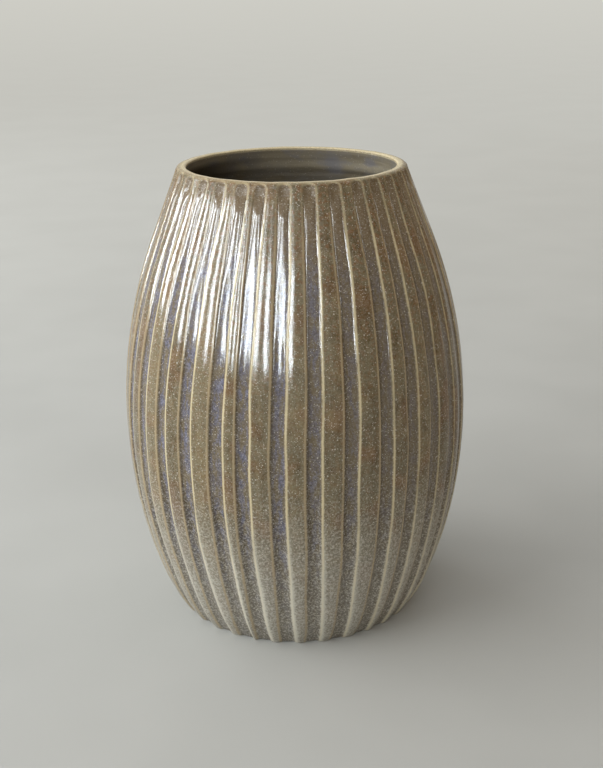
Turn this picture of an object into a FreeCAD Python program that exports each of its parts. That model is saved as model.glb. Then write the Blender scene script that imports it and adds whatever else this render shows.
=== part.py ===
"""A round fluted stoneware vase: a thrown body with hand-cut flutes, and the glaze that pooled in them.

The origin is the centre of the base, +Z is up, lengths are millimetres. The front of the vase faces -Y.
"""
import FreeCAD, Part
import math
import os
import Sketcher

Vector = FreeCAD.Vector
doc = FreeCAD.newDocument("fluted_vase")

# Driving dimensions, one cell each
SIZES = {
    "body_height": 220.0,
    # outside form, measured on the lands between the flutes
    "belly_radius": 83.5,
    "belly_level": 98.0,
    "lip_inset": 29.5,
    "shoulder_length": 31.8,
    "foot_inset": 23.5,
    "foot_turn_radius": 70.0,
    "foot_angle": 36.0,
    "lip_bevel_width": 1.6,
    "lip_bevel_height": 2.0,
    # inside form
    "wall_thickness": 6.5,
    "lip_thickness": 3.4,
    "lip_inner_bevel": 0.8,
    "floor_thickness": 7.0,
    "floor_corner_run": 13.0,
    "floor_corner_rise": 10.0,
    "recess_radius": 50.0,
    "recess_depth": 3.0,
    "recess_bevel": 1.5,
    # flutes
    "flute_count": 33,
    "flute_width": 7.2,
    "flute_depth": 2.4,
    "flute_drop": 1.0,
    "flute_top_depth": 1.9,
    "flute_top_gap": 5.4,
    "front_flute_angle": -4.3,
    # pooled glaze
    "pool_thickness": 1.3,
    "glaze_line": 66.0,
    # how far a cutting tool reaches past what it cuts
    "overrun": 4.0,
}

# How far each hand-cut flute strays from even spacing, as shares of the pitch, from the front to the right
STRAY_SHARES = (
    -0.10, -0.09, -0.02, 0.09, 0.04, 0.00, 0.05, 0.02, -0.05, -0.08, -0.03,
    0.04, 0.09, 0.06, -0.01, -0.06, 0.03, 0.08, 0.02, -0.07, -0.10, -0.04,
    0.05, 0.10, 0.07, 0.01, -0.03, 0.02, 0.01, 0.04, 0.04, 0.08, -0.12,
)

# Sizes that follow from the driving ones
DERIVED = {
    "lip_radius": "=belly_radius - lip_inset",
    "lip_top_radius": "=lip_radius - lip_bevel_width",
    "lip_bevel_level": "=body_height - lip_bevel_height",
    "foot_radius": "=belly_radius - foot_inset",
    # the arc above the belly touches the straight shoulder, whose length leaves it one radius
    "upper_rise": "=lip_bevel_level - belly_level",
    "upper_radius": "=(lip_inset^2 + upper_rise^2 - shoulder_length^2) / (2 * lip_inset)",
    "upper_centre": "=belly_radius - upper_radius",
    "shoulder_angle": "=atan(upper_rise / (upper_radius - lip_inset)) - atan(shoulder_length / upper_radius)",
    # the arc below it touches the turn into the foot, which meets the ground at the foot's angle
    "turn_centre": "=foot_radius - foot_turn_radius * cos(foot_angle)",
    "turn_level": "=foot_turn_radius * sin(foot_angle)",
    "lower_reach": "=belly_radius - turn_centre",
    "lower_drop": "=belly_level - turn_level",
    "lower_radius": "=(lower_reach^2 + lower_drop^2 - foot_turn_radius^2) / (2 * (lower_reach - foot_turn_radius))",
    "lower_centre": "=belly_radius - lower_radius",
    "blank_reach": "=belly_radius + overrun",
    "blank_width": "=2 * blank_reach",
    # inside form: the same side, one wall thickness in, down to a sloping floor corner
    "lip_inner_radius": "=lip_top_radius - lip_thickness",
    "lip_crest_radius": "=lip_inner_radius + lip_inner_bevel",
    "lip_inner_level": "=body_height - lip_inner_bevel",
    "above_lip": "=body_height + overrun",
    "floor_level": "=recess_depth + floor_thickness",
    "corner_level": "=floor_level + floor_corner_rise",
    "corner_radius": "=lower_centre + sqrt((lower_radius - wall_thickness)^2 - (belly_level - corner_level)^2)",
    "floor_radius": "=corner_radius - floor_corner_run",
    "recess_top_radius": "=recess_radius - recess_bevel",
    # flutes and their glaze
    "flute_pitch": "=360 / flute_count",
    "flute_slope": "=flute_width / 2 / flute_depth",
    "flute_top_level": "=body_height - flute_top_gap",
    "flute_top_radius": "=lip_radius + (lip_bevel_level - flute_top_level) * tan(shoulder_angle)"
    " - flute_top_depth / cos(shoulder_angle)",
    "cutter_depth": "=flute_depth + overrun",
    "cutter_half_width": "=cutter_depth * flute_slope",
    "pool_half_width": "=pool_thickness * flute_slope",
}
# The outside, the inside and the bottom of a flute all follow the same side, each its own inset and drop from it
for form, inset, drop in (("outer", "0", "0"), ("inner", "wall_thickness", "0"), ("flute", "flute_depth", "flute_drop")):
    DERIVED[f"{form}_belly_radius"] = f"=belly_radius - {inset}"
    DERIVED[f"{form}_belly_level"] = f"=belly_level - {drop}"
    DERIVED[f"{form}_upper_radius"] = f"=upper_radius - {inset}"
    DERIVED[f"{form}_lower_radius"] = f"=lower_radius - {inset}"
    DERIVED[f"{form}_turn_radius"] = f"=foot_turn_radius - {inset}"

sheet = doc.addObject("Spreadsheet::Sheet", "sizes")
for row, (alias, value) in enumerate({**SIZES, **DERIVED}.items(), start=1):
    sheet.set(f"A{row}", alias)
    sheet.set(f"B{row}", str(value))
    sheet.setAlias(f"B{row}", alias)
doc.recompute()
size = {alias: float(sheet.get(alias)) for alias in {**SIZES, **DERIVED}}
size["0"] = 0.0

# How a sketch numbers the places on one of its edges, and its own origin
WHOLE_EDGE, START, END, CENTRE = range(4)
ORIGIN = (-1, START)


def now(name):
    """What a size is now; a minus sign before its name turns it round."""
    return -size[name[1:]] if name.startswith("-") else size[name]


def following(name):
    """The expression that follows a size of the sheet."""
    return name.replace("-", "-sizes.") if name.startswith("-") else name if name == "0" else f"sizes.{name}"


def hold(sketch, kind, *targets, by):
    index = sketch.addConstraint(Sketcher.Constraint(kind, *targets, now(by)))
    sketch.setExpression(f"Constraints[{index}]", following(by))


def place(sketch, edge, end, across, up):
    hold(sketch, "DistanceX", *ORIGIN, edge, end, by=across)
    hold(sketch, "DistanceY", *ORIGIN, edge, end, by=up)


def join(sketch, edge, next_edge):
    sketch.addConstraint(Sketcher.Constraint("Coincident", edge, END, next_edge, START))


def spot(across, up):
    return Vector(now(across), now(up), 0)


def outline(sketch, corners):
    """A closed outline of straight edges through corners that are pairs of size names."""
    spots = [spot(*corner) for corner in corners]
    edges = [sketch.addGeometry(Part.LineSegment(a, b)) for a, b in zip(spots, spots[1:] + spots[:1])]
    for edge, next_edge in zip(edges, edges[1:] + edges[:1]):
        join(sketch, edge, next_edge)
    for edge, corner in zip(edges, corners):
        place(sketch, edge, START, *corner)


def polar(centre, radius, angle):
    return centre + Vector(math.cos(angle), math.sin(angle), 0) * radius


def arc(sketch, centre, radius, from_angle, to_angle):
    circle = Part.Circle(centre, Vector(0, 0, 1), radius)
    return sketch.addGeometry(Part.ArcOfCircle(circle, from_angle, to_angle))


def draw_side(sketch, form, top, low, turns_in):
    """One side of the vase, as the outer, inner or flute form of it, from its top to its low level.

    It is a straight shoulder, an arc above and an arc below the belly and, where it turns in, the turn into the
    foot. Returns the first edge, the last edge and the spot where it ends.
    """
    belly = (f"{form}_belly_radius", f"{form}_belly_level")
    upper, lower = spot("upper_centre", belly[1]), spot("lower_centre", belly[1])
    upper_radius, lower_radius = now(f"{form}_upper_radius"), now(f"{form}_lower_radius")
    bend = math.radians(size["shoulder_angle"])
    first = sketch.addGeometry(Part.LineSegment(spot(*top), polar(upper, upper_radius, bend)))
    above = arc(sketch, upper, upper_radius, 0, bend)
    last_centre, last_radius = lower, lower_radius
    if turns_in:
        drop = now(belly[1]) - size["belly_level"]
        last_centre, last_radius = spot("turn_centre", "turn_level") + Vector(0, drop, 0), now(f"{form}_turn_radius")
    low_angle = math.asin((now(low) - last_centre.y) / last_radius)
    to_turn = last_centre - lower
    below_low = math.atan2(to_turn.y, to_turn.x) if turns_in else low_angle
    below = last = arc(sketch, lower, lower_radius, below_low, 0)
    place(sketch, first, START, *top)
    place(sketch, above, CENTRE, "upper_centre", belly[1])
    place(sketch, above, START, *belly)
    place(sketch, below, CENTRE, "lower_centre", belly[1])
    sketch.addConstraint(Sketcher.Constraint("Tangent", first, END, above, END))
    sketch.addConstraint(Sketcher.Constraint("Coincident", below, END, above, START))
    if turns_in:
        last = arc(sketch, last_centre, last_radius, low_angle, below_low)
        sketch.addConstraint(Sketcher.Constraint("Tangent", below, START, last, END))
        hold(sketch, "Radius", last, by=f"{form}_turn_radius")
        hold(sketch, "DistanceX", *ORIGIN, last, CENTRE, by="turn_centre")
    hold(sketch, "DistanceY", *ORIGIN, last, START, by=low)
    return first, last, polar(last_centre, last_radius, low_angle)


def upright_sketch(name):
    sketch = doc.addObject("Sketcher::SketchObject", name)
    sketch.Placement = FreeCAD.Placement(Vector(), FreeCAD.Rotation(Vector(1, 0, 0), 90))
    return sketch


def copies_round(source, angles):
    """Copies of one object, each turned about the vase's axis by an angle given as an expression."""
    copies = []
    for number, angle in enumerate(angles):
        copy = doc.addObject("App::Link", f"{source.Name}_{number}")
        copy.LinkedObject = source
        copy.LinkTransform = False
        copy.LinkPlacement = FreeCAD.Placement(Vector(), FreeCAD.Rotation(Vector(0, 0, 1), 1))
        copy.setExpression("LinkPlacement.Rotation.Angle", angle)
        copies.append(copy)
    return copies


def make_barrel(name, form, top, low, turns_in, corners):
    """A round form that is flat across behind each land and curved down the side.

    It is what one blank for each land, as wide as the vase, has in common with all the others. The corners close
    the blank's profile from the top of its side, round the back, to the side's low end.
    """
    profile = upright_sketch(f"{name}_profile")
    first, last, low_spot = draw_side(profile, form, top, low, turns_in)
    spots = [spot(*top), *(spot(*corner) for corner in corners), low_spot]
    edges = [profile.addGeometry(Part.LineSegment(a, b)) for a, b in zip(spots, spots[1:])]
    profile.addConstraint(Sketcher.Constraint("Coincident", first, START, edges[0], START))
    for edge, next_edge in zip(edges, edges[1:] + [last]):
        join(profile, edge, next_edge)
    for edge, corner in zip(edges[1:], corners):
        place(profile, edge, START, *corner)
    blank = doc.addObject("Part::Extrusion", f"{name}_blank")
    blank.Base = profile
    blank.DirMode = "Custom"
    blank.Dir = Vector(0, 1, 0)
    blank.Solid = True
    blank.Symmetric = True
    blank.setExpression("LengthFwd", "sizes.blank_width")
    barrel = doc.addObject("Part::MultiCommon", name)
    land = "sizes.front_flute_angle - 90 + sizes.flute_pitch * ({} + 0.5)"
    barrel.Shapes = copies_round(blank, [land.format(number) for number in range(count)])
    return barrel


def make_recess():
    under = upright_sketch("recess_profile")
    outline(under, [
        ("0", "-overrun"),
        ("recess_radius", "-overrun"),
        ("recess_radius", "0"),
        ("recess_top_radius", "recess_depth"),
        ("0", "recess_depth"),
    ])
    recess = doc.addObject("Part::Revolution", "recess")
    recess.Source = under
    recess.Axis = Vector(0, 0, 1)
    recess.Angle = 360
    recess.Solid = True
    return recess


def make_vee(name, half_width, depth, low, turns_in, rounded):
    """A vee swept down one flute, point inwards; half a cone may round its top off."""
    body = doc.addObject("PartDesign::Body", name)
    path = body.newObject("Sketcher::SketchObject", f"{name}_path")
    upright = next(plane for plane in body.Origin.OriginFeatures if plane.Role == "XZ_Plane")
    path.AttachmentSupport = [(upright, "")]
    path.MapMode = "FlatFace"
    draw_side(path, "flute", ("flute_top_radius", "flute_top_level"), low, turns_in)
    doc.recompute()

    def across_path(part, left):
        sketch = body.newObject("Sketcher::SketchObject", f"{name}_{part}")
        sketch.AttachmentSupport = [(path, "Edge1")]
        sketch.MapMode = "NormalToEdge"
        sketch.MapPathParameter = 0
        outline(sketch, [("0", "0"), (half_width, depth), (left, depth)])
        return sketch

    run = body.newObject("PartDesign::AdditivePipe", f"{name}_run")
    run.Profile = across_path("section", f"-{half_width}")
    run.Spine = (path, [f"Edge{number}" for number in range(1, path.GeometryCount + 1)])
    body.Tip = run
    if rounded:
        half = across_path("half_section", "0")
        cap = body.newObject("PartDesign::Revolution", f"{name}_cap")
        cap.Profile = half
        cap.ReferenceAxis = (half, ["V_Axis"])
        cap.Angle = 180
        cap.Reversed = True
        body.Tip = cap
    return body


# The thrown pot: its outside, its inside and the recess under its foot
count = int(size["flute_count"])
outside = make_barrel(
    "outside", "outer", ("lip_radius", "lip_bevel_level"), "0", turns_in=True,
    corners=[("lip_top_radius", "body_height"), ("-blank_reach", "body_height"), ("-blank_reach", "0")],
)
inside = make_barrel(
    "inside", "inner", ("lip_inner_radius", "lip_inner_level"), "corner_level", turns_in=False,
    corners=[
        ("lip_crest_radius", "body_height"),
        ("lip_crest_radius", "above_lip"),
        ("-blank_reach", "above_lip"),
        ("-blank_reach", "floor_level"),
        ("floor_radius", "floor_level"),
    ],
)
hollow = doc.addObject("Part::Compound", "hollow")
hollow.Links = [inside, make_recess()]
pot = doc.addObject("Part::Cut", "pot")
pot.Base = outside
pot.Tool = hollow

# The flutes, cut by hand and so never quite evenly spaced, and the glaze that lies in each above the foot
strays = [STRAY_SHARES[number % len(STRAY_SHARES)] for number in range(count)]
flute_angles = [
    f"sizes.front_flute_angle - 90 + sizes.flute_pitch * ({number} + {stray})" for number, stray in enumerate(strays)
]
cutter = make_vee("flute_cutter", "cutter_half_width", "cutter_depth", "-overrun", turns_in=True, rounded=True)
flutes = doc.addObject("Part::Compound", "flutes")
flutes.Links = copies_round(cutter, flute_angles)
stoneware = doc.addObject("Part::Cut", "stoneware_body")
stoneware.Base = pot
stoneware.Tool = flutes
pool = make_vee("glaze_pool", "pool_half_width", "pool_thickness", "glaze_line", turns_in=False, rounded=False)
glaze = doc.addObject("Part::Compound", "flute_glaze")
glaze.Links = copies_round(pool, flute_angles)

doc.recompute()
for item in doc.Objects:
    if "Invalid" in item.State or "Error" in item.State:
        raise RuntimeError(f"{item.Label} failed: {item.State}")
os.makedirs("parts", exist_ok=True)
for node, solids in ((stoneware, 1), (glaze, count)):
    shape = node.Shape
    if shape.isNull() or not shape.isValid() or len(shape.Solids) != solids:
        raise RuntimeError(f"{node.Label} is not {solids} valid solids")
    shape.exportStep(f"parts/{node.Label}.step")
    print(node.Label, len(shape.Solids), "solids", round(shape.Volume), "mm3", shape.BoundBox)
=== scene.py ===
"""The looks of the fluted stoneware vase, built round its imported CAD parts.

The pot is remade as one fine mesh: soft lands, hollow flutes that wander a little, a round lip, throwing
rings inside and a bare foot. The glaze that pooled in the flutes is a second mesh that lies in them. All
lengths are metres in the parts' own frame: +Z is up, the origin is the centre of the base and the front
faces -Y.
"""
import math

import bpy
import numpy as np
from mathutils import Matrix


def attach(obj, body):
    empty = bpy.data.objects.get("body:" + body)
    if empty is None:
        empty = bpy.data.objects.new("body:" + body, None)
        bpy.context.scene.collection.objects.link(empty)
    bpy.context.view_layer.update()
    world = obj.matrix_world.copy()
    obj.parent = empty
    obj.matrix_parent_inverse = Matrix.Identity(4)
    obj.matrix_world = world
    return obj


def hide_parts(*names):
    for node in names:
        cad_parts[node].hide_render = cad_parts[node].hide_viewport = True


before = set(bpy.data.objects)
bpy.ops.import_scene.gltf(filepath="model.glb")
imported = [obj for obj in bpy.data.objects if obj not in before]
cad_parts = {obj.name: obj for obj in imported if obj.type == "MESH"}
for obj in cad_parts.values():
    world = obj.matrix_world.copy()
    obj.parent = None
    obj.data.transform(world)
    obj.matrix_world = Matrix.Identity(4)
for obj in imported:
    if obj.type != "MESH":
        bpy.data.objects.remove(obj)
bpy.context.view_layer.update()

draws = np.random.default_rng(33)

MM = 0.001

# The side of the vase, measured on the lands between the flutes
HEIGHT = 0.2200
BELLY_RADIUS = 0.0835
BELLY_LEVEL = 0.0980
LIP_RADIUS = 0.0540
LIP_LEVEL = 0.2180
SHOULDER_LENGTH = 0.0318
FOOT_RADIUS = 0.0600
FOOT_TURN_RADIUS = 0.0700
FOOT_ANGLE = math.radians(36)

# The lip, the wall and the inside
LIP_INNER_RADIUS = 0.0490
LIP_INNER_LEVEL = 0.2190
LIP_CREST_OUTER = 0.0516
LIP_CREST_INNER = 0.0500
CREST_GAP = 0.10 * MM
LIP_WOBBLE = 0.06 * MM
WALL = 0.0065
FLOOR_LEVEL = 0.0100
FLOOR_WAVE = 0.15 * MM
FLOOR_WAVE_TURN = 40
FLOOR_DIP = 0.1 * MM
CORNER_RISE = 0.0100
CORNER_RUN = 0.0130
RIB = 0.20 * MM
RIB_WAVES = (0.0035, 0.0075)
BROAD_RIB_WAVES = (0.010, 0.030)
BROAD_RIB_SHARE = 0.8
RIB_START_DEPTHS = (0.001, 0.010)
SPIRAL_SHARE = 0.35
SPIRAL_RISE = 0.012

# The underside
RECESS_RADIUS = 0.0500
RECESS_DEPTH = 0.0030
RECESS_BEVEL = 0.0015
TRIMMING_WAVE = 0.10 * MM
TRIMMING_WAVE_TURN = 70

# The flutes: their places are those of the solid, as shares of the pitch from the front to the right
FLUTES = 33
PITCH = 2 * math.pi / FLUTES
FRONT_FLUTE = math.radians(-4.3)
STRAY_SHARES = np.array((
    -0.10, -0.09, -0.02, 0.09, 0.04, 0.00, 0.05, 0.02, -0.05, -0.08, -0.03,
    0.04, 0.09, 0.06, -0.01, -0.06, 0.03, 0.08, 0.02, -0.07, -0.10, -0.04,
    0.05, 0.10, 0.07, 0.01, -0.03, 0.02, 0.01, 0.04, 0.04, 0.08, -0.12,
))
ARCH_LEVEL = 0.2170
TOP_BOW = math.radians(2.3)
TOP_BOW_LEVELS = (0.085, 0.240)
FOOT_BOW = math.radians(0.8)
FOOT_BOW_LEVELS = (0.0, 0.080)
WANDER = 0.16 * MM
WANDER_WAVES = (0.035, 0.110)
SWELL_SHARE = 0.030
SWELL_WAVES = (0.028, 0.090)
WIDTH_SHARES = (0.96, 1.04)
# Pairs of a height and the flutes' half width or depth there
HALF_WIDTHS = ((0.0, 0.00345), (0.098, 0.00352), (0.170, 0.00325), (0.216, 0.00285))
DEPTHS = (
    (0.0, 0.0010), (0.030, 0.0020), (0.120, 0.0024), (0.180, 0.0018), (0.205, 0.0012), (0.218, 0.0008),
)

# The lands: a rounded crown that is fuller at the foot, and thick glaze along one side of each there
EDGE_SOFTNESS = 0.55 * MM
CROWN = 0.30 * MM
FOOT_CROWN = 0.45 * MM
FOOT_CROWN_LEVELS = (0.0, 0.075)
CROWN_END_LEVELS = (0.2125, LIP_LEVEL)
RIDGE_OFFSET = 0.9 * MM
RIDGE_SPREAD = 0.9 * MM
RIDGE = 0.22 * MM
RIDGE_LEVELS = (0.030, 0.085)
RIDGE_WAVES = (0.004, 0.014)
RIDGE_LUMP_SHARE = 0.35

# What hands leave uneven on the whole wall, and how far the wall is set inside the solid
LUMP = 0.045 * MM
LUMP_COUNT = 14
LUMP_TURNS = (2, 34)
LUMP_WAVES = (0.040, 0.160)
LUMP_START_LEVELS = (0.0, 0.010)
LUMP_END_LEVELS = (0.205, 0.217)
LEAN_LEVELS = (0.0, 0.014)
SKIN = 0.08 * MM

# The pools of glaze in the flutes
POOL_LINE = 0.066
POOL_LINE_STRAY = (-0.010, 0.008)
POOL_TOP = LIP_LEVEL - 1.0 * MM
POOL_THICKNESS = 1.05 * MM
POOL_WAVES = (0.020, 0.070)
POOL_WAVE_SHARE = 0.03
POOL_LOW_FADE = 0.022
POOL_TOP_FADE = 0.010
POOL_WIDTH_SHARE = 0.80
POOL_NARROWING_SHARE = 0.30
POOL_NARROWING = 0.020
POOL_ARCH_RUN = 1.0 * MM
POOL_ARCH_SHARE = 0.15
POOL_BURY = 0.22 * MM
POOL_BURY_SHARE = 0.6
POOL_BACK = 0.1 * MM
POOL_EDGE_DROP = 0.12 * MM
POOL_SINK = 0.05 * MM
POOL_ROWS = 118
POOL_SHARES = np.array((-1.0, -0.94, -0.8, -0.55, -0.28, 0.0, 0.28, 0.55, 0.8, 0.94, 1.0))


def smooth(value, low, high):
    """0 below low, 1 above high, and a soft turn between them."""
    share = np.clip((value - low) / (high - low), 0, 1)
    return share * share * (3 - 2 * share)


def along(table, level):
    """A size that changes with height, from pairs of height and size."""
    heights, sizes = zip(*table)
    return np.interp(level, heights, sizes)


def waves(position, shortest, longest, count=5):
    """A soft random line of about -1 to 1 along a position in metres."""
    total = np.zeros_like(position, dtype=float)
    for _ in range(count):
        length = draws.uniform(shortest, longest)
        total = total + np.sin(2 * math.pi * (position / length + draws.uniform()))
    return total / math.sqrt(count)


def hand_unevenness(angles, levels):
    """The slow lumps that a thrown and hand-cut wall has, about -1 to 1."""
    total = np.zeros(np.broadcast(angles, levels).shape)
    for _ in range(LUMP_COUNT):
        turns = draws.integers(*LUMP_TURNS)
        length = draws.uniform(*LUMP_WAVES)
        total = total + np.sin(turns * angles + 2 * math.pi * (levels / length + draws.uniform()))
    return total / math.sqrt(LUMP_COUNT)


def ring(radius, level, angles):
    """Corners of one ring of a mesh, or of a stretch of one."""
    radius, level = np.broadcast_to(radius, angles.shape), np.broadcast_to(level, angles.shape)
    return np.stack([radius * np.sin(angles), -radius * np.cos(angles), level], axis=-1)


# The arc above the belly touches a straight shoulder, the arc below it touches the turn into the foot
LIP_INSET = BELLY_RADIUS - LIP_RADIUS
UPPER_RISE = LIP_LEVEL - BELLY_LEVEL
UPPER_RADIUS = (LIP_INSET**2 + UPPER_RISE**2 - SHOULDER_LENGTH**2) / (2 * LIP_INSET)
UPPER_CENTRE = BELLY_RADIUS - UPPER_RADIUS
TURN_CENTRE = FOOT_RADIUS - FOOT_TURN_RADIUS * math.cos(FOOT_ANGLE)
TURN_LEVEL = FOOT_TURN_RADIUS * math.sin(FOOT_ANGLE)
LOWER_REACH = BELLY_RADIUS - TURN_CENTRE
LOWER_DROP = BELLY_LEVEL - TURN_LEVEL
LOWER_RADIUS = (LOWER_REACH**2 + LOWER_DROP**2 - FOOT_TURN_RADIUS**2) / (2 * (LOWER_REACH - FOOT_TURN_RADIUS))
LOWER_CENTRE = BELLY_RADIUS - LOWER_RADIUS


def side(level, inset=0.0, top=(LIP_RADIUS, LIP_LEVEL), turns_in=True):
    """The side's radius and its face's upward tilt at each level, for a side that is inset from the lands."""
    level = np.asarray(level, dtype=float)
    upper, lower, turn = UPPER_RADIUS - inset, LOWER_RADIUS - inset, FOOT_TURN_RADIUS - inset
    across, up = top[0] - UPPER_CENTRE, top[1] - BELLY_LEVEL
    straight = math.sqrt(across**2 + up**2 - upper**2)
    tilt = math.atan2(up, across) - math.atan2(straight, upper)
    touch = BELLY_LEVEL + upper * math.sin(tilt)
    rise = level - BELLY_LEVEL
    bent = np.where(rise > 0, upper, lower)
    centre = np.where(rise > 0, UPPER_CENTRE, LOWER_CENTRE)
    angle = np.arcsin(np.clip(rise / bent, -1, 1))
    radius = centre + bent * np.cos(angle)
    on_straight = level > touch
    radius = np.where(on_straight, top[0] + (top[1] - level) * math.tan(tilt), radius)
    angle = np.where(on_straight, tilt, angle)
    if turns_in:
        joint = BELLY_LEVEL - lower * math.sin(math.atan2(LOWER_DROP, TURN_CENTRE - LOWER_CENTRE))
        turned = np.arcsin(np.clip((level - TURN_LEVEL) / turn, -1, 1))
        radius = np.where(level < joint, TURN_CENTRE + turn * np.cos(turned), radius)
        angle = np.where(level < joint, turned, angle)
    return radius, angle


def lip_line(turns):
    """Radius, level and tilt of the lip: a wide outer turn up to 90 degrees, then a tight inner one."""
    outer = turns <= math.pi / 2
    middle = np.where(outer, LIP_CREST_OUTER, LIP_CREST_INNER)
    across = np.where(outer, LIP_RADIUS - LIP_CREST_OUTER, LIP_CREST_INNER - LIP_INNER_RADIUS)
    base = np.where(outer, LIP_LEVEL, LIP_INNER_LEVEL)
    up = HEIGHT - CREST_GAP - base
    radius = middle + across * np.cos(turns)
    return radius, base + up * np.sin(turns), np.arctan2(np.sin(turns) / up, np.cos(turns) / across)


def flute_lines(levels):
    """The angle of each flute's middle, and its half width, at each level."""
    middle = FRONT_FLUTE + (np.arange(FLUTES) + STRAY_SHARES) * PITCH
    radius, _ = side(levels)
    bow = TOP_BOW * smooth(levels, *TOP_BOW_LEVELS) + FOOT_BOW * (1 - smooth(levels, *FOOT_BOW_LEVELS))
    angles, halves = [], []
    for flute in range(FLUTES):
        wander = WANDER * waves(levels, *WANDER_WAVES)
        swell = 1 + SWELL_SHARE * waves(levels, *SWELL_WAVES)
        angles.append(middle[flute] + bow + wander / radius)
        halves.append(along(HALF_WIDTHS, levels) * swell * draws.uniform(*WIDTH_SHARES))
    return np.array(angles), np.array(halves)


# The rows of the wall: up the side, then over the outer half of the lip
SIDE_LEVELS = np.concatenate([
    [0.0, 0.0004, 0.0010, 0.0018, 0.0027],
    np.linspace(0.0038, 0.2050, 172),
    np.linspace(0.2054, LIP_LEVEL, 33),
])
OUTER_LIP_TURNS = np.radians(np.linspace(10, 90, 11))
INNER_LIP_TURNS = np.radians(np.linspace(91, 180, 9))
LEVELS = np.concatenate([SIDE_LEVELS, np.full(len(OUTER_LIP_TURNS), LIP_LEVEL)])

side_radius, side_tilt = side(SIDE_LEVELS)
lip_radius, lip_level, lip_tilt = lip_line(OUTER_LIP_TURNS)
row_radius = np.concatenate([side_radius, lip_radius])
row_level = np.concatenate([SIDE_LEVELS, lip_level])
row_tilt = np.concatenate([side_tilt, lip_tilt])
row_steps = np.hypot(np.diff(row_radius), np.diff(row_level))
row_lengths = np.concatenate([[0.0], np.cumsum(row_steps)])
row_depths = along(DEPTHS, LEVELS)
past_arch = np.maximum(row_lengths - np.interp(ARCH_LEVEL, row_level, row_lengths), 0)

line_angles, half_widths = flute_lines(LEVELS)
next_angles = np.roll(line_angles, -1, axis=0)
next_angles[-1] += 2 * math.pi
land_angles = (line_angles + next_angles) / 2

# The columns of the wall, from the middle of a flute to the middle of its land
GROOVE_SHARES = (0.0, 0.28, 0.52, 0.70, 0.84, 0.94)
EDGE_STEPS = (0.0, 0.28 * MM, 0.65 * MM, 1.15 * MM)
LAND_SHARES = (0.3, 0.65, 1.0)


def half_columns(half, reach):
    """Distances from a flute's middle to its land's middle, one row of them for each level."""
    columns = [half * share for share in GROOVE_SHARES]
    columns += [half + step for step in EDGE_STEPS]
    rest = reach - half - EDGE_STEPS[-1]
    columns += [half + EDGE_STEPS[-1] + rest * share for share in LAND_SHARES]
    return np.stack(columns, axis=1)


def soft_lowest(first, second, softness):
    """The lower of two values, with a rounded turn where they cross."""
    near = np.maximum(softness - np.abs(first - second), 0) / softness
    return np.minimum(first, second) - near * near * softness / 4


def wall_offset(distance, half, reach):
    """How far the wall stands out from the side's own line, and how far each place is past a flute's edge."""
    radial = np.sqrt(distance**2 + past_arch[:, None] ** 2)
    groove = -row_depths[:, None] * (1 - (radial / half[:, None]) ** 2)
    crown = CROWN + FOOT_CROWN * (1 - smooth(LEVELS, *FOOT_CROWN_LEVELS))
    crown = crown * (1 - smooth(LEVELS, *CROWN_END_LEVELS))
    from_middle = (reach[:, None] - np.abs(distance)) / (reach - half)[:, None]
    land = -crown[:, None] * np.clip(from_middle, 0, 1.4) ** 2
    return soft_lowest(land, groove, EDGE_SOFTNESS), radial - half[:, None]


def ridge_of_glaze(distance, half):
    """The thick pale glaze that gathered on the left of each land near the foot."""
    from_ridge = (distance - half[:, None] - RIDGE_OFFSET) / RIDGE_SPREAD
    lumps = 1 - RIDGE_LUMP_SHARE + RIDGE_LUMP_SHARE * waves(LEVELS, *RIDGE_WAVES)
    return RIDGE * np.exp(-from_ridge**2) * (lumps * (1 - smooth(LEVELS, *RIDGE_LEVELS)))[:, None]


def make_columns():
    """The wall's columns, flute by flute: angle, offset, and what the glaze goes by.

    The edge is the distance from the flute's edge in mm, more on the land. Across is -1 on the left half of a
    flute and +1 on the right. The tint is one number for each land.
    """
    tints = draws.uniform(0, 1, FLUTES)
    columns = {"angle": [], "out": [], "edge": [], "across": [], "tint": []}
    for flute in range(FLUTES):
        before, after = land_angles[flute - 1], land_angles[flute]
        if flute == 0:
            before = before - 2 * math.pi
        middle, half = line_angles[flute], half_widths[flute]
        left_reach, right_reach = (middle - before) * row_radius, (after - middle) * row_radius
        left = -half_columns(half, left_reach)[:, :0:-1]
        right = half_columns(half, right_reach)[:, :-1]
        for distance, reach, land in ((left, left_reach, flute - 1), (right, right_reach, flute)):
            out, edge = wall_offset(distance, half, reach)
            if distance is right:
                out = out + ridge_of_glaze(distance, half)
            columns["angle"].append(middle[:, None] + distance / row_radius[:, None])
            columns["out"].append(out)
            columns["edge"].append(edge / MM)
            columns["across"].append(np.where(distance < 0, -1.0, 1.0))
            columns["tint"].append(np.full_like(distance, tints[land]))
    return {name: np.concatenate(parts, axis=1) for name, parts in columns.items()}


# The pot's rings: up the outside and over the lip, down the inside to the floor, and under the foot
INNER_LEVELS = np.concatenate([
    np.linspace(LIP_INNER_LEVEL, 0.200, 24)[1:],
    np.linspace(0.199, FLOOR_LEVEL + CORNER_RISE, 120),
])
CORNER_TURNS = np.radians(np.linspace(8, 90, 10))
FLOOR_SHARES = np.linspace(1.0, 0.06, 24)[1:]
RECESS_SHARES = np.linspace(0.95, 0.05, 20)
INNER_STEP = 2
# Pairs of a radius and a level, from the foot's edge into the recess
FOOT_LINE = (
    (FOOT_RADIUS - 3.4 * MM, 0.0),
    ((FOOT_RADIUS + RECESS_RADIUS) / 2, 0.0),
    (RECESS_RADIUS + 0.4 * MM, 0.0),
    (RECESS_RADIUS, 0.2 * MM),
    (RECESS_RADIUS - RECESS_BEVEL, RECESS_DEPTH - 0.3 * MM),
    (RECESS_RADIUS - RECESS_BEVEL - 0.5 * MM, RECESS_DEPTH),
)


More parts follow.
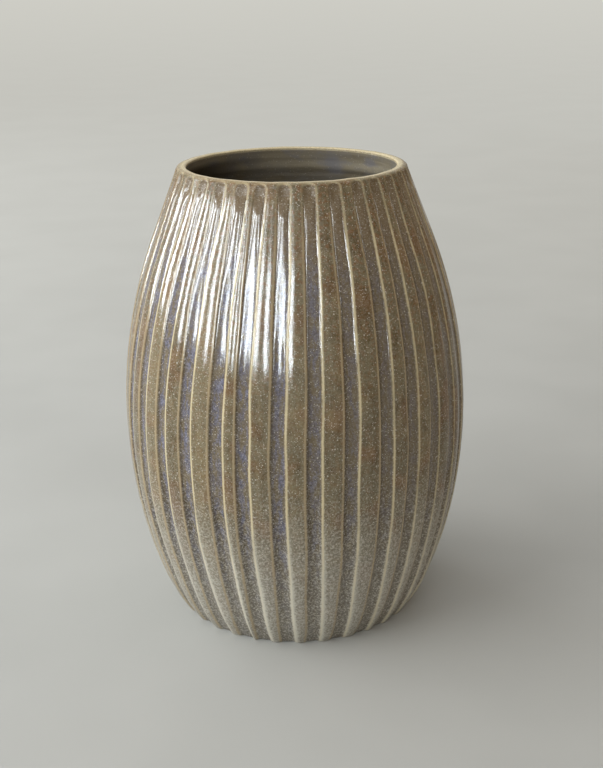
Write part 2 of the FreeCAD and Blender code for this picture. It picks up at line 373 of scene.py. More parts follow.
def outside_rings(columns):
    """Rings up the outside and over the lip, a little lumpy and set a hair inside the solid."""
    angles = columns["angle"]
    fade = (smooth(LEVELS, *LUMP_START_LEVELS) * (1 - smooth(LEVELS, *LUMP_END_LEVELS)))[:, None]
    out = columns["out"] + (LUMP * hand_unevenness(angles, LEVELS[:, None]) - SKIN) * fade
    lean = (row_tilt * smooth(LEVELS, *LEAN_LEVELS))[:, None]
    radius = row_radius[:, None] + out * np.cos(lean)
    level = row_level[:, None] + out * np.sin(lean)
    made = [ring(*row) for row in zip(radius, level, angles)]
    for over_radius, over_level, _ in zip(*lip_line(INNER_LIP_TURNS)):
        made.append(ring(over_radius, over_level, angles[-1]))
    wobble = hand_unevenness(angles[-1], np.zeros(1))
    for points in made[len(SIDE_LEVELS):]:
        rise = smooth(points[:, 2], LIP_LEVEL, HEIGHT)
        points[:, 2] = np.minimum(points[:, 2] + LIP_WOBBLE * wobble * rise, HEIGHT)
    return made


def inside_rings(angles):
    """Rings down the inside with the ribs of throwing, round the corner and in over the floor."""
    radii, _ = side(INNER_LEVELS, WALL, (LIP_INNER_RADIUS, LIP_INNER_LEVEL), turns_in=False)
    ribs = waves(INNER_LEVELS, *RIB_WAVES, 6) + BROAD_RIB_SHARE * waves(INNER_LEVELS, *BROAD_RIB_WAVES, 4)
    made = []
    for level, radius, rib in zip(INNER_LEVELS, radii, ribs):
        started = float(smooth(LIP_LEVEL - level, *RIB_START_DEPTHS))
        spiral = SPIRAL_SHARE * np.sin(angles + level / SPIRAL_RISE)
        made.append(ring(radius + RIB * started * (rib + spiral), level, angles))
    floor_edge = radii[-1] - CORNER_RUN
    for turn in CORNER_TURNS:
        level = FLOOR_LEVEL + CORNER_RISE * (1 - math.sin(turn))
        made.append(ring(floor_edge + CORNER_RUN * math.cos(turn), level, angles))
    for share in FLOOR_SHARES:
        level = FLOOR_LEVEL + FLOOR_WAVE * math.sin(share * FLOOR_WAVE_TURN) - FLOOR_DIP * share
        made.append(ring(floor_edge * share, level, angles))
    return made


def underside_rings(angles):
    """Rings under the foot and over the trimmed recess."""
    made = [ring(radius, level, angles) for radius, level in FOOT_LINE]
    for share in RECESS_SHARES:
        level = RECESS_DEPTH + TRIMMING_WAVE * (math.sin(share * TRIMMING_WAVE_TURN) - 1)
        made.append(ring((RECESS_RADIUS - RECESS_BEVEL) * share, level, angles))
    return made


columns = make_columns()
outside = outside_rings(columns)
inside = inside_rings(columns["angle"][-1][::INNER_STEP])
underside = underside_rings(columns["angle"][0])
rings = outside + inside + underside
starts = np.cumsum([0] + [len(points) for points in rings])

GLAZE_SLOT, INSIDE_SLOT, CLAY_SLOT = range(3)
faces, face_slots = [], []


def add_face(corners, slot, flipped=False):
    """One face of the pot, turned round where flipped."""
    faces.append(corners[::-1] if flipped else corners)
    face_slots.append(slot)


def band(first, second, slot, flipped=False):
    """Faces between two rings of the same count, or from a ring to one with every other corner left out."""
    count, other = len(rings[first]), len(rings[second])
    step = count // other
    for column in range(other):
        onward = (column + 1) % other
        lower = [starts[first] + (column * step + extra) % count for extra in range(step + 1)]
        add_face(lower + [starts[second] + onward, starts[second] + column], slot, flipped)


def cap(which, slot, flipped=False):
    """One face that closes a ring."""
    add_face(list(range(starts[which], starts[which + 1])), slot, flipped)


floor_ring = len(outside) + len(inside) - 1
for index in range(len(outside) - 1):
    band(index, index + 1, GLAZE_SLOT)
for index in range(len(outside) - 1, floor_ring):
    band(index, index + 1, INSIDE_SLOT)
cap(floor_ring, INSIDE_SLOT)
band(0, floor_ring + 1, CLAY_SLOT, flipped=True)
for index in range(floor_ring + 1, len(rings) - 1):
    band(index, index + 1, CLAY_SLOT, flipped=True)
cap(len(rings) - 1, CLAY_SLOT, flipped=True)


def spread(values, fill):
    """A value for every corner of the pot, from values for the wall's corners; the rest get fill."""
    whole = np.full(starts[-1], fill, dtype=np.float32)
    whole[: values.size] = values.ravel()
    return whole


def make_object(name, points, polygons, slots=None, attributes=None):
    """A smooth mesh from its points and faces, with a number for each point in every attribute."""
    mesh = bpy.data.meshes.new(name)
    mesh.from_pydata(points.tolist(), [], polygons)
    mesh.validate()
    for label, values in (attributes or {}).items():
        layer = mesh.attributes.new(label, "FLOAT", "POINT")
        layer.data.foreach_set("value", values.astype(np.float32))
    if slots is not None:
        mesh.polygons.foreach_set("material_index", np.array(slots, dtype=np.int32))
    mesh.polygons.foreach_set("use_smooth", np.ones(len(mesh.polygons), dtype=bool))
    mesh.update()
    made = bpy.data.objects.new(name, mesh)
    bpy.context.scene.collection.objects.link(made)
    return made


pot = make_object(
    "fluted_pot", np.concatenate(rings), faces, face_slots,
    {
        "edge": spread(columns["edge"], 6.0),
        "across": spread(columns["across"], 1.0),
        "tint": spread(columns["tint"], 0.5),
    },
)


# The pooled glaze: one closed strip in each flute, its face hollow and its edges under the clay's surface
def pool_points(flute):
    """Rows of one pool's corners from its low end up, each over its face and then over its back."""
    low = POOL_LINE + draws.uniform(*POOL_LINE_STRAY)
    rows = np.linspace(low, POOL_TOP, POOL_ROWS)
    middle = np.interp(rows, LEVELS, line_angles[flute])
    half = np.interp(rows, LEVELS, half_widths[flute])
    radius, tilt = side(rows)
    narrowing = POOL_NARROWING_SHARE * (1 - smooth(rows, low, low + POOL_NARROWING))
    into_arch = np.maximum(rows - ARCH_LEVEL + POOL_ARCH_RUN, 0) / half
    width = half * POOL_WIDTH_SHARE * (1 - narrowing) * np.sqrt(np.clip(1 - into_arch**2, POOL_ARCH_SHARE, 1))
    full = smooth(rows, low, low + POOL_LOW_FADE) * (1 - smooth(rows, POOL_TOP - POOL_TOP_FADE, POOL_TOP))
    thickness = POOL_THICKNESS * full * (1 + POOL_WAVE_SHARE * waves(rows, *POOL_WAVES))
    thickness = thickness - POOL_BURY * POOL_BURY_SHARE * (1 - full)
    distance = width[:, None] * POOL_SHARES[None, :]
    rise = np.maximum(rows - ARCH_LEVEL, 0) / np.cos(tilt)
    radial = np.sqrt(distance**2 + rise[:, None] ** 2)
    clay = -along(DEPTHS, rows)[:, None] * (1 - np.minimum(radial / half[:, None], 1) ** 2)
    face = clay + thickness[:, None] * (1 - POOL_SHARES**2) - POOL_EDGE_DROP * POOL_SHARES**6
    back = clay - POOL_BURY - POOL_BACK
    points = []
    for row in range(POOL_ROWS):
        angles = middle[row] + distance[row] / radius[row]
        for out in (face[row], back[row]):
            reach = radius[row] + (out - POOL_SINK) * math.cos(tilt[row])
            points.append(ring(reach, rows[row] + out * math.sin(tilt[row]), angles))
    return points


def pool_faces(start):
    """Faces of one pool whose corners begin at start: its face, back and two sides, then its two ends."""
    count = len(POOL_SHARES)
    stride = 2 * count
    made = []
    for row in range(POOL_ROWS - 1):
        here, above = start + row * stride, start + (row + 1) * stride
        for column in range(count - 1):
            made.append((here + column, here + column + 1, above + column + 1, above + column))
            back, back_above = here + count + column, above + count + column
            made.append((back, back_above, back_above + 1, back + 1))
        made.append((here, above, above + count, here + count))
        right_here, right_above = here + count - 1, above + count - 1
        made.append((right_here, right_here + count, right_above + count, right_above))
    foot, head = start, start + (POOL_ROWS - 1) * stride
    for column in range(count - 1):
        made.append((foot + column, foot + count + column, foot + count + column + 1, foot + column + 1))
        made.append((head + column, head + column + 1, head + count + column + 1, head + count + column))
    return made


corners_each = 2 * POOL_ROWS * len(POOL_SHARES)
all_pool_points = [points for flute in range(FLUTES) for points in pool_points(flute)]
all_pool_faces = [face for flute in range(FLUTES) for face in pool_faces(flute * corners_each)]
pools = make_object(
    "pooled_glaze_strips", np.concatenate(all_pool_points), all_pool_faces, None,
    {"across": np.tile(POOL_SHARES, 2 * POOL_ROWS * FLUTES)},
)


# Colours and finishes
class Finish:
    """A material and short ways to add nodes to it."""

    def __init__(self, name):
        self.material = bpy.data.materials.new(name)
        self.material.use_nodes = True
        self.tree = self.material.node_tree
        self.shader = self.tree.nodes["Principled BSDF"]
        self.place = self.add("ShaderNodeTexCoord").outputs["Object"]
        self.level = self.part(self.place, "Z")
        self.sideways = self.part(self.place, "X")

    def add(self, kind):
        return self.tree.nodes.new(kind)

    def put(self, socket, value):
        """Link a socket, or set it where the value is a plain number or colour."""
        if isinstance(value, bpy.types.NodeSocket):
            self.tree.links.new(value, socket)
        elif isinstance(value, tuple) and len(value) == 3 and socket.type == "RGBA":
            socket.default_value = (*value, 1.0)
        else:
            socket.default_value = value

    def part(self, vector, axis):
        node = self.add("ShaderNodeSeparateXYZ")
        self.put(node.inputs[0], vector)
        return node.outputs[axis]

    def stretched(self, x, y, z):
        """The place with each axis scaled, so that a pattern there is drawn out where the scale is small."""
        node = self.add("ShaderNodeMapping")
        self.put(node.inputs["Vector"], self.place)
        self.put(node.inputs["Scale"], (x, y, z))
        return node.outputs[0]

    def noise(self, scale, detail=2.0, where=None):
        node = self.add("ShaderNodeTexNoise")
        self.put(node.inputs["Vector"], where or self.place)
        self.put(node.inputs["Scale"], scale)
        self.put(node.inputs["Detail"], detail)
        return node.outputs[0]

    def length(self, vector):
        node = self.add("ShaderNodeVectorMath")
        node.operation = "LENGTH"
        self.put(node.inputs[0], vector)
        return node.outputs["Value"]

    def from_axis(self):
        """The distance from the vase's upright middle line, in metres."""
        return self.length(self.stretched(1, 1, 0))

    def ramp(self, value, low, high, start=0.0, end=1.0):
        """Start below low, end above high, and a soft turn between them."""
        node = self.add("ShaderNodeMapRange")
        node.interpolation_type = "SMOOTHSTEP"
        for socket, setting in zip(node.inputs, (value, low, high, start, end)):
            self.put(socket, setting)
        return node.outputs[0]

    def math(self, operation, first, second=0.0):
        node = self.add("ShaderNodeMath")
        node.operation = operation
        self.put(node.inputs[0], first)
        self.put(node.inputs[1], second)
        return node.outputs[0]

    def plus(self, first, second):
        return self.math("ADD", first, second)

    def larger(self, first, second):
        return self.math("MAXIMUM", first, second)

    def times(self, *values):
        total = values[0]
        for value in values[1:]:
            total = self.math("MULTIPLY", total, value)
        return total

    def weighted(self, *pairs):
        """The sum of values that are each multiplied by their weight."""
        total = self.times(*pairs[0])
        for pair in pairs[1:]:
            total = self.plus(total, self.times(*pair))
        return total

    def ragged(self, value, pattern, reach):
        """A value that a pattern moves up and down, for an uneven edge."""
        return self.plus(value, self.times(self.math("SUBTRACT", pattern, 0.5), reach))

    def off(self, value, middle):
        """How far a value is from a middle one."""
        return self.math("ABSOLUTE", self.math("SUBTRACT", value, middle))

    def mix(self, share, first, second):
        node = self.add("ShaderNodeMix")
        node.data_type = "RGBA"
        for socket, value in zip((node.inputs[0], node.inputs[6], node.inputs[7]), (share, first, second)):
            self.put(socket, value)
        return node.outputs[2]

    def attribute(self, name):
        node = self.add("ShaderNodeAttribute")
        node.attribute_name = name
        return node.outputs["Fac"]

    def specks(self, scale, share, radius):
        """Small round dots in the share of a random pattern's cells."""
        node = self.add("ShaderNodeTexVoronoi")
        self.put(node.inputs["Vector"], self.place)
        self.put(node.inputs["Scale"], scale)
        chosen = self.ramp(self.part(node.outputs["Color"], "X"), 1 - share, 1 - share + 0.08)
        near = self.ramp(node.outputs["Distance"], radius * 0.55, radius, 1.0, 0.0)
        return self.times(chosen, near)

    def bump(self, height, distance, strength):
        node = self.add("ShaderNodeBump")
        self.put(node.inputs["Height"], height)
        self.put(node.inputs["Distance"], distance)
        self.put(node.inputs["Strength"], strength)
        self.put(self.shader.inputs["Normal"], node.outputs[0])

    def look(self, colour, roughness, ior=1.5, shine=0.5):
        self.put(self.shader.inputs["Base Color"], colour)
        self.put(self.shader.inputs["Roughness"], roughness)
        self.put(self.shader.inputs["IOR"], ior)
        self.put(self.shader.inputs["Specular IOR Level"], shine)


BROWN_DARK = (0.102, 0.072, 0.033)
BROWN_LIGHT = (0.252, 0.198, 0.108)
OLIVE_GREY = (0.193, 0.171, 0.110)
RUST = (0.225, 0.112, 0.050)
# UMBER is the dark of the flecks and also the painted shade along one side of each flute
UMBER = (0.082, 0.060, 0.034)
TOP_BROWN = (0.185, 0.136, 0.080)
GROOVE_GREY = (0.168, 0.135, 0.086)
BLUE_DARK = (0.088, 0.087, 0.118)
BLUE_LIGHT = (0.178, 0.187, 0.278)
GREY_BROWN = (0.150, 0.132, 0.100)
PALE_GREEN = (0.405, 0.390, 0.340)
PALE_CREAM = (0.600, 0.585, 0.500)
CREAM = (0.640, 0.560, 0.365)
# The edge lines' cream darkened as painted shade, for the lines that face away from the lamps
CREAM_IN_PAINTED_SHADE = (0.430, 0.345, 0.215)
SPECK = (0.680, 0.660, 0.590)
INSIDE_DARK = (0.195, 0.168, 0.117)
INSIDE_LIGHT = (0.308, 0.276, 0.204)
INSIDE_GREY = (0.222, 0.212, 0.194)
INSIDE_BLUE = (0.210, 0.208, 0.222)
# INSIDE_SHADE is the colour of the painted shadow on the inside
INSIDE_SHADE = (0.030, 0.022, 0.010)
CLAY_DARK = (0.330, 0.250, 0.170)
CLAY_LIGHT = (0.430, 0.345, 0.245)
CLAY_RECESS = (0.235, 0.165, 0.105)
CLAY_RING = (0.200, 0.145, 0.095)
CLAY_PAINTED_SHADOW = (0.120, 0.085, 0.055)
CLAY_SPECK = (0.090, 0.065, 0.045)

# Heights between which the glaze and the painted shade in the flutes change, at the foot and at the top
DRY_FOOT = (0.015, 0.100)
FEATHERED_FOOT = (0.030, 0.085)
GREY_FOOT = (0.030, 0.085)
MOTTLED_FOOT = (0.030, 0.125)
PALE_FOOT = (0.035, 0.112)
# UNSHADED_FOOT: heights over which the painted shade in the flutes weakens towards the foot
UNSHADED_FOOT = (0.035, 0.090)
RUSTY_TOP = (0.110, 0.214)
BROWN_TOP = (0.186, 0.218)
FAINT_TOP = (0.190, 0.213)
DULL_TOP = (0.2085, 0.2150)
ROUGH_TOP = (0.2120, 0.2165)
CREST = (0.2188, 0.2197)
CREST_RADII = (0.0508, 0.0526)

# Places along X, from left to right, between which it changes
# The pale edge lines are painted wider towards the lit left and fainter towards the shaded right
LINES_WIDER_IN_PAINTED_LIGHT = (-0.078, -0.045)
BLUE_FLECKS = (-0.030, 0.060)
FEATHERS = (-0.005, 0.040)
LINES_FAINTER_IN_PAINTED_SHADE = (0.035, 0.075)
GLOSS = (0.042, 0.076)

GLAZE_IOR = 1.38
GRAIN_BUMP = 0.14
FINE_BUMP = 0.30
RUNS_BUMP = 0.46
SPECK_BUMP = 0.20


def glaze_patterns(finish):
    """The blotches, the grain and the fine grain that both glazes of the outside share."""
    return finish.noise(150, 3), finish.noise(900, 3), finish.noise(1900, 2)


def groove_colour(finish, blotch, grain, fine, across):
    """Violet-grey flecks on brown-grey, fewer to the right, brown under the lip and greyer near the foot,
    with painted shade along the left side of each flute that weakens near the foot.
    """
    long_flecks = finish.noise(430, 4, finish.stretched(1, 1, 0.30))
    flecks = finish.weighted((long_flecks, 0.68), (fine, 0.32))
    amount = finish.times(
        finish.ramp(finish.sideways, *BLUE_FLECKS, 1.0, 0.28),
        finish.ramp(blotch, 0.28, 0.60, 0.45, 1.0),
    )
    blue = finish.mix(finish.ramp(grain, 0.35, 0.65), BLUE_DARK, BLUE_LIGHT)
    colour = finish.mix(finish.times(finish.ramp(flecks, 0.42, 0.56), amount), GROOVE_GREY, blue)
    # Painted shade: the left wall of each flute, turned away from the lamps, is darkened to umber, less so
    # near the foot
    shaded = finish.times(
        finish.ramp(across, -1.0, -0.35, 0.70, 0.0),
        finish.ramp(finish.level, *UNSHADED_FOOT, 0.3, 1.0),
    )
    colour = finish.mix(shaded, colour, UMBER)
    wavering = finish.plus(finish.level, finish.times(blotch, 0.020))
    colour = finish.mix(finish.ramp(wavering, *BROWN_TOP, 0.0, 0.90), colour, TOP_BROWN)
    return finish.mix(finish.ramp(wavering, *GREY_FOOT, 0.75, 0.0), colour, GREY_BROWN)


def land_colour(finish, blotch, grain, streak, tint):
    """Dark to light brown, each land a little its own, with olive-grey and rust patches and flecks."""
    tone = finish.weighted((blotch, 0.42), (streak, 0.42), (tint, 0.16))
    colour = finish.mix(finish.ramp(tone, 0.36, 0.64), BROWN_DARK, BROWN_LIGHT)
    patches = finish.noise(62, 4)
    colour = finish.mix(finish.ramp(grain, 0.42, 0.62, 0.0, 0.35), colour, OLIVE_GREY)
    colour = finish.mix(finish.ramp(patches, 0.42, 0.60, 0.0, 0.60), colour, OLIVE_GREY)
    rust_flecks = finish.ramp(finish.noise(620, 3), 0.50, 0.62)
    rusty = finish.times(finish.ramp(finish.level, *RUSTY_TOP, 0.25, 0.72), rust_flecks)
    rust_patches = finish.ramp(patches, 0.36, 0.48, 0.42, 0.0)
    return finish.mix(finish.larger(rusty, rust_patches), colour, RUST)


def add_flecks(finish, colour, fine, share):
    """The fine pale and dark grain all over the glaze, strongest near the foot, and its white specks."""
    mottled = finish.ramp(finish.level, *MOTTLED_FOOT, 1.0, 0.0)
    blobs = finish.noise(1000, 4)
    pale = finish.times(finish.ramp(blobs, 0.47, 0.66), finish.ramp(mottled, 0.0, 1.0, 0.09, 0.42))
    colour = finish.mix(finish.larger(pale, finish.ramp(fine, 0.52, 0.68, 0.0, 0.18)), colour, SPECK)
    dark = finish.times(finish.ramp(blobs, 0.34, 0.52, 1.0, 0.0), finish.ramp(mottled, 0.0, 1.0, 0.20, 0.38))
    colour = finish.mix(finish.larger(dark, finish.ramp(fine, 0.30, 0.46, 0.26, 0.0)), colour, UMBER)
    specks = finish.larger(finish.specks(1500, share, 0.38), finish.specks(920, share * 0.34, 0.38))
    return finish.mix(finish.times(specks, 0.72), colour, SPECK), specks


def add_edge_lines(finish, colour, edge, on_right, grain, streak):
    """The pale lines where the glaze thinned over the edges, with painted light and shade: tan and fainter
    left of a flute, where the edge faces away from the lamps, and cream right of it; wider on the lit left of
    the vase and fainter on its shaded right.
    """
    off_line = finish.off(finish.ragged(edge, grain, 0.7), 0.32)
    # Painted light and shade: wider lines on the lit left, fainter ones on the shaded right and on edges
    # facing away from the lamps
    reach = finish.ramp(finish.sideways, *LINES_WIDER_IN_PAINTED_LIGHT, 1.35, 0.86)
    strength = finish.times(
        finish.ramp(off_line, 0.10, reach, 1.0, 0.0),
        finish.ramp(streak, 0.25, 0.55, 0.60, 1.0),
        finish.ramp(on_right, 0.0, 1.0, 0.80, 0.98),
        finish.ramp(finish.level, *FAINT_TOP, 1.0, 0.42),
        finish.ramp(finish.sideways, *LINES_FAINTER_IN_PAINTED_SHADE, 1.0, 0.50),
    )
    return finish.mix(strength, colour, finish.mix(on_right, CREAM_IN_PAINTED_SHADE, CREAM))


def add_feathers(finish, colour, edge, on_right, grain):
    """The thick pale glaze on the left of each land near the foot, with a frayed edge."""
    frayed = finish.ragged(edge, grain, 3.4)
    strength = finish.times(
        finish.ramp(frayed, 0.9, 2.6, 1.0, 0.0),
        finish.ramp(frayed, -0.9, 0.1),
        on_right,
        finish.ramp(finish.level, *FEATHERED_FOOT, 0.85, 0.0),
        finish.ramp(finish.sideways, *FEATHERS, 1.0, 0.50),
    )
    return finish.mix(strength, colour, PALE_CREAM)


def add_crest(finish, colour, grain):
    """The pale band that runs round the top of the lip."""
    strength = finish.times(
        finish.ramp(finish.level, *CREST),
        finish.ramp(finish.from_axis(), *CREST_RADII, 1.0, 0.25),
        finish.ramp(grain, 0.25, 0.60, 0.60, 0.95),
    )
    return finish.mix(strength, colour, CREAM)


def glaze_shine(finish):
    """The gloss of the outside: weaker under the lip and on the right."""
    under_lip = finish.ramp(finish.level, *DULL_TOP, 0.5, 0.08)
    return finish.times(under_lip, finish.ramp(finish.sideways, *GLOSS, 1.0, 0.30))


def runs_of_glaze(finish):
    """Fine upright runs, which fray the window's reflections."""
    return finish.noise(1000, 3, finish.stretched(1, 1, 0.05))


def make_glaze():
    """The glaze of the wall: brown lands, blue-grey grooves, pale lines between them and a pale foot."""
    finish = Finish("stoneware_glaze")
    edge, across, tint = (finish.attribute(name) for name in ("edge", "across", "tint"))
    blotch, grain, fine = glaze_patterns(finish)
    streak = finish.noise(420, 3, finish.stretched(1, 1, 0.10))
    on_right = finish.ramp(across, -0.2, 0.2)

    land = land_colour(finish, blotch, grain, streak, tint)
    groove = groove_colour(finish, blotch, grain, fine, across)
    colour = finish.mix(finish.ramp(finish.ragged(edge, fine, 0.9), -0.9, -0.1), groove, land)
    low = finish.ramp(finish.plus(finish.level, finish.times(blotch, 0.03)), *PALE_FOOT, 0.76, 0.0)
    colour = finish.mix(finish.times(low, finish.ramp(edge, -0.8, 0.4, 0.25, 1.0)), colour, PALE_GREEN)
    colour, specks = add_flecks(finish, colour, fine, 0.30)
    colour = add_edge_lines(finish, colour, edge, on_right, grain, streak)
    colour = add_feathers(finish, colour, edge, on_right, grain)
    colour = add_crest(finish, colour, grain)

    matte = finish.plus(
        finish.ramp(finish.level, *DRY_FOOT, 0.46, 0.03),
        finish.ramp(finish.level, *ROUGH_TOP, 0.0, 0.20),
    )
    finish.look(colour, finish.plus(matte, finish.times(fine, 0.07)), GLAZE_IOR, glaze_shine(finish))
    height = finish.weighted(
        (grain, GRAIN_BUMP), (specks, SPECK_BUMP), (fine, FINE_BUMP), (runs_of_glaze(finish), RUNS_BUMP),
    )
    finish.bump(height, 0.11 * MM, 0.85)
    return finish.material


def make_pool_glaze():
    """The thick glaze in the flutes, glossier than the wall's."""
    finish = Finish("pooled_blue_glaze")
    blotch, grain, fine = glaze_patterns(finish)
    # The pools get the flutes' colour, including the painted shade along their left side
    colour = groove_colour(finish, blotch, grain, fine, finish.attribute("across"))
    colour, _ = add_flecks(finish, colour, fine, 0.22)
    finish.look(colour, finish.ramp(fine, 0.2, 0.8, 0.04, 0.10), GLAZE_IOR, glaze_shine(finish))
    height = finish.weighted((grain, GRAIN_BUMP), (fine, FINE_BUMP), (runs_of_glaze(finish), RUNS_BUMP))
    finish.bump(height, 0.10 * MM, 0.80)
    return finish.material


def make_inside_glaze():
    """The thin brown-grey glaze of the inside, banded by the throwing rings, with a pale rim and a painted
    shadow on the left inner wall below the lip.
    """
    finish = Finish("inside_glaze")
    blotch = finish.noise(90, 3)
    bands = finish.noise(260, 3, finish.stretched(0.05, 0.05, 1))
    grain = finish.noise(1100, 3)
    clouds = finish.noise(140, 4, finish.stretched(0.5, 0.5, 1))
    colour = finish.mix(finish.ramp(bands, 0.35, 0.65), INSIDE_DARK, INSIDE_LIGHT)
    colour = finish.mix(finish.ramp(blotch, 0.40, 0.65, 0.0, 0.6), colour, INSIDE_GREY)
    colour = finish.mix(finish.ramp(clouds, 0.48, 0.66, 0.0, 0.8), colour, INSIDE_BLUE)
    colour = finish.mix(finish.times(finish.specks(1300, 0.20, 0.36), 0.4), colour, SPECK)
    rim = finish.times(finish.ramp(finish.level, 0.2181, 0.2191), finish.ramp(grain, 0.30, 0.60, 0.5, 0.95))
    colour = finish.mix(rim, colour, CREAM)
    # Painted shadow: the left inner wall, turned away from the lamps, is darkened below the lip
    shade = finish.times(
        finish.ramp(finish.sideways, -0.047, -0.006, 0.98, 0.0),
        finish.ramp(finish.level, 0.212, 0.2185, 1.0, 0.0),
    )
    colour = finish.mix(shade, colour, INSIDE_SHADE)
    finish.look(colour, finish.ramp(grain, 0.2, 0.8, 0.26, 0.42), shine=0.22)
    finish.bump(finish.plus(grain, finish.times(bands, 1.6)), 0.14 * MM, 0.8)
    return finish.material


def make_bare_clay():
    """Bare clay, with the trimming tool's rings, a darker recess inside the foot ring and a painted shadow
    line in the recess's corner.
    """
    finish = Finish("bare_stoneware")
    grain = finish.noise(1500, 4)
    blotch = finish.noise(120, 3)
    radius = finish.from_axis()
    colour = finish.mix(finish.ramp(blotch, 0.35, 0.65), CLAY_DARK, CLAY_LIGHT)
    colour = finish.mix(finish.ramp(radius, 0.0480, 0.0500, 0.55, 0.0), colour, CLAY_RECESS)
    turned = finish.math("SINE", finish.weighted((radius, 3600), (blotch, 5)))
    colour = finish.mix(finish.ramp(turned, -0.2, 1.0, 0.0, 0.30), colour, CLAY_RING)
    # Painted shadow: a dark line where the recess's bevel meets the foot ring
    painted_corner_shadow = finish.ramp(finish.off(radius, 0.0492), 0.0002, 0.0011, 0.75, 0.0)
    colour = finish.mix(painted_corner_shadow, colour, CLAY_PAINTED_SHADOW)
    colour = finish.mix(finish.times(finish.specks(900, 0.16, 0.30), 0.8), colour, CLAY_SPECK)
    finish.look(colour, finish.ramp(grain, 0.2, 0.8, 0.75, 0.92))
    finish.bump(finish.plus(grain, finish.times(turned, 0.35)), 0.15 * MM, 0.8)
    return finish.material


for finished in (make_glaze(), make_inside_glaze(), make_bare_clay()):
    pot.data.materials.append(finished)
pools.data.materials.append(make_pool_glaze())

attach(pot, "root")
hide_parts("stoneware_body")
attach(pools, "root")
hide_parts("flute_glaze")

# The table
TABLE_RADIUS = 14.0
TABLE_FIRST_RING = 0.12
TABLE_RINGS = 18
TABLE_SIDES = 96
TABLE_DROP = 0.02 * MM
TABLE_DARK = (0.437, 0.449, 0.439)
TABLE_LIGHT = (0.462, 0.475, 0.465)
FAR_PALE = (0.640, 0.632, 0.580)
FAR_START = 0.35
FAR_SOFTNESS = 0.6


def make_table_finish():
    """A dull table. Farther off, the eye sees a plain pale colour, and the vase is lit by the real one."""
    finish = Finish("pale_table")
    grain = finish.noise(9, 2)
    colour = finish.mix(finish.ramp(grain, 0.3, 0.7), TABLE_DARK, TABLE_LIGHT)
    finish.look(colour, finish.ramp(grain, 0.3, 0.7, 0.62, 0.70), shine=0.0)
    seen_by = finish.add("ShaderNodeLightPath").outputs
    eye_ray = finish.larger(seen_by["Is Camera Ray"], seen_by["Is Glossy Ray"])
    eye_ray = finish.larger(eye_ray, seen_by["Is Transmission Ray"])
    distance = finish.length(finish.place)
    past = finish.larger(finish.math("SUBTRACT", distance, FAR_START), 0.0)
    far_share = finish.math("DIVIDE", past, finish.plus(distance, FAR_SOFTNESS))
    far_colour = finish.add("ShaderNodeEmission")
    finish.put(far_colour.inputs["Color"], FAR_PALE)
    both = finish.add("ShaderNodeMixShader")
    finish.put(both.inputs[0], finish.times(eye_ray, far_share))
    finish.put(both.inputs[1], finish.shader.outputs[0])
    finish.put(both.inputs[2], far_colour.outputs[0])
    finish.put(finish.tree.nodes["Material Output"].inputs["Surface"], both.outputs[0])
    return finish.material


def make_table():
    """A round table top whose rings lie closer near the vase."""
    turns = np.linspace(0, 2 * math.pi, TABLE_SIDES, endpoint=False)
    radii = np.geomspace(TABLE_FIRST_RING, TABLE_RADIUS, TABLE_RINGS)
    points = np.concatenate([np.zeros((1, 3))] + [ring(radius, 0.0, turns) for radius in radii])
    onward = [(turn + 1) % TABLE_SIDES for turn in range(TABLE_SIDES)]
    polygons = [(0, 1 + turn, 1 + onward[turn]) for turn in range(TABLE_SIDES)]
    for inner in range(1, 1 + (TABLE_RINGS - 1) * TABLE_SIDES, TABLE_SIDES):
        outer = inner + TABLE_SIDES
        for turn in range(TABLE_SIDES):
            polygons.append((inner + turn, outer + turn, outer + onward[turn], inner + onward[turn]))
    made = make_object("table", points - np.array((0, 0, TABLE_DROP)), polygons)
    made.data.materials.append(make_table_finish())
    return made


table = make_table()

# The room
ROOM_LIGHT = (1.0, 0.982, 0.948, 1.0)
ROOM_STRENGTH = 0.75
ROOM_PALE = (0.60, 0.60, 0.575, 1.0)


def make_world():
    """A plain light for the vase, and a pale colour for every ray that looks at the room."""
    world = bpy.data.worlds.new("room")
    world.use_nodes = True
    bpy.context.scene.world = world
    nodes, links = world.node_tree.nodes, world.node_tree.links
    plain = nodes["Background"]
    plain.inputs["Color"].default_value = ROOM_LIGHT
    plain.inputs["Strength"].default_value = ROOM_STRENGTH
    seen = nodes.new("ShaderNodeBackground")
    seen.inputs["Color"].default_value = ROOM_PALE
    light_path = nodes.new("ShaderNodeLightPath")
    looked_at = light_path.outputs["Is Camera Ray"]
    for ray in ("Is Glossy Ray", "Is Transmission Ray"):
        more = nodes.new("ShaderNodeMath")
        more.operation = "MAXIMUM"
        links.new(looked_at, more.inputs[0])
        links.new(light_path.outputs[ray], more.inputs[1])
        looked_at = more.outputs[0]
    either = nodes.new("ShaderNodeMixShader")
    links.new(looked_at, either.inputs[0])
    links.new(plain.outputs[0], either.inputs[1])
    links.new(seen.outputs[0], either.inputs[2])
    links.new(either.outputs[0], nodes["World Output"].inputs["Surface"])


def axes_matrix(right, up, back, middle):
    """The matrix that stands an object at a middle point, with its own axes along three given ones."""
    rows = [[right[i], up[i], back[i], middle[i]] for i in range(3)]
    return Matrix(rows + [[0, 0, 0, 1]])


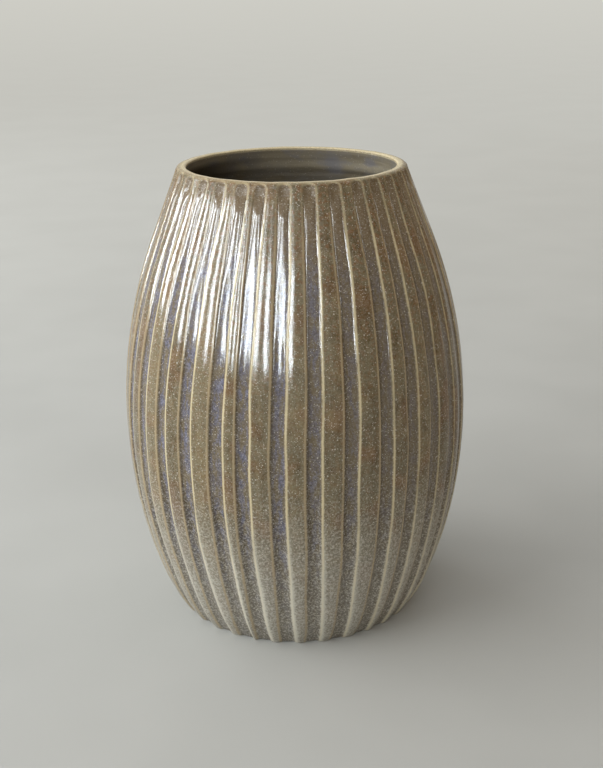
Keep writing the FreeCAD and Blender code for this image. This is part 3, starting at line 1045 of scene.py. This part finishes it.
def make_window(name, bearing, elevation, distance, size, power, tint, only_glossy=False):
    """A lit window pane that faces the vase. Bearing 0 is the camera's side, and a plus turns to its left."""
    lamp = bpy.data.lights.new(name, "AREA")
    lamp.shape = "RECTANGLE"
    lamp.size, lamp.size_y = size
    lamp.energy = power
    lamp.color = tint
    made = bpy.data.objects.new(name, lamp)
    made.visible_diffuse = not only_glossy
    made.visible_glossy = only_glossy
    bearing, elevation = math.radians(bearing), math.radians(elevation)
    flat = math.cos(elevation)
    back = np.array((-math.sin(bearing) * flat, -math.cos(bearing) * flat, math.sin(elevation)))
    right = np.cross((0, 0, 1), back)
    right = right / np.linalg.norm(right)
    middle = np.array((0, 0, HEIGHT / 2)) + back * distance
    made.matrix_world = axes_matrix(right, np.cross(back, right), back, middle)
    bpy.context.scene.collection.objects.link(made)


DAYLIGHT = (0.94, 0.975, 1.0)
SKY = (0.86, 0.94, 1.0)
WARM_DAYLIGHT = (1.0, 0.985, 0.955)
PANE_BEARINGS = (12, 34, 56, 80, 106)

make_world()
make_window("soft_left", 80, elevation=26, distance=1.8, size=(2.2, 1.2), power=31, tint=WARM_DAYLIGHT)
make_window("soft_behind_left", 135, elevation=26, distance=2.0, size=(0.8, 0.8), power=7, tint=DAYLIGHT)
for pane, bearing in enumerate(PANE_BEARINGS):
    make_window(
        f"window_pane_{pane}", bearing, elevation=17.3, distance=1.7, size=(0.24, 0.82), power=28, tint=SKY,
        only_glossy=True,
    )

# A warm screen on the right, out of the camera's sight, for the brown side of the room
SCREEN = ((0.75, -1.3), (0.95, -0.4), (1.0, 0.5), (0.8, 1.5))
SCREEN_LEVELS = (0.02, 1.1)
SCREEN_LIGHT = (0.380, 0.270, 0.160)
SCREEN_DARK = (0.300, 0.215, 0.130)


def make_screen():
    """The screen's few flat faces, in a dull brown."""
    points = np.array([(x, y, z) for x, y in SCREEN for z in SCREEN_LEVELS])
    polygons = [(2 * step, 2 * step + 1, 2 * step + 3, 2 * step + 2) for step in range(len(SCREEN) - 1)]
    made = make_object("warm_screen", points, polygons)
    finish = Finish("warm_screen")
    grain = finish.noise(3, 2)
    finish.look(finish.mix(grain, SCREEN_LIGHT, SCREEN_DARK), finish.ramp(grain, 0.2, 0.8, 0.8, 0.9))
    made.data.materials.append(finish.material)
    made.visible_camera = False
    made.visible_shadow = False
    return made


screen = make_screen()

# The camera of the photograph
EYE = (0.00326, -0.5611, 0.3100)
PITCH_DOWN = math.radians(19.564)
ROLL = math.radians(-0.799)
FOCAL_PIXELS = 1200.0
LONG_SIDE_PIXELS = 768
SENSOR = 36.0
NEAREST = 0.01
FARTHEST = 60


def make_camera():
    """The camera at the eye's place, pitched down and rolled as the photograph's was."""
    forward = np.array((0, math.cos(PITCH_DOWN), -math.sin(PITCH_DOWN)))
    level_right = np.array((1.0, 0, 0))
    level_up = np.array((0, math.sin(PITCH_DOWN), math.cos(PITCH_DOWN)))
    right = math.cos(ROLL) * level_right + math.sin(ROLL) * level_up
    up = -math.sin(ROLL) * level_right + math.cos(ROLL) * level_up
    lens = bpy.data.cameras.new("camera")
    lens.sensor_width = SENSOR
    lens.lens = FOCAL_PIXELS * SENSOR / LONG_SIDE_PIXELS
    lens.clip_start = NEAREST
    lens.clip_end = FARTHEST
    made = bpy.data.objects.new("camera", lens)
    made.matrix_world = axes_matrix(right, up, -forward, EYE)
    bpy.context.scene.collection.objects.link(made)
    bpy.context.scene.camera = made


make_camera()
bpy.context.scene.view_settings.view_transform = "Standard"
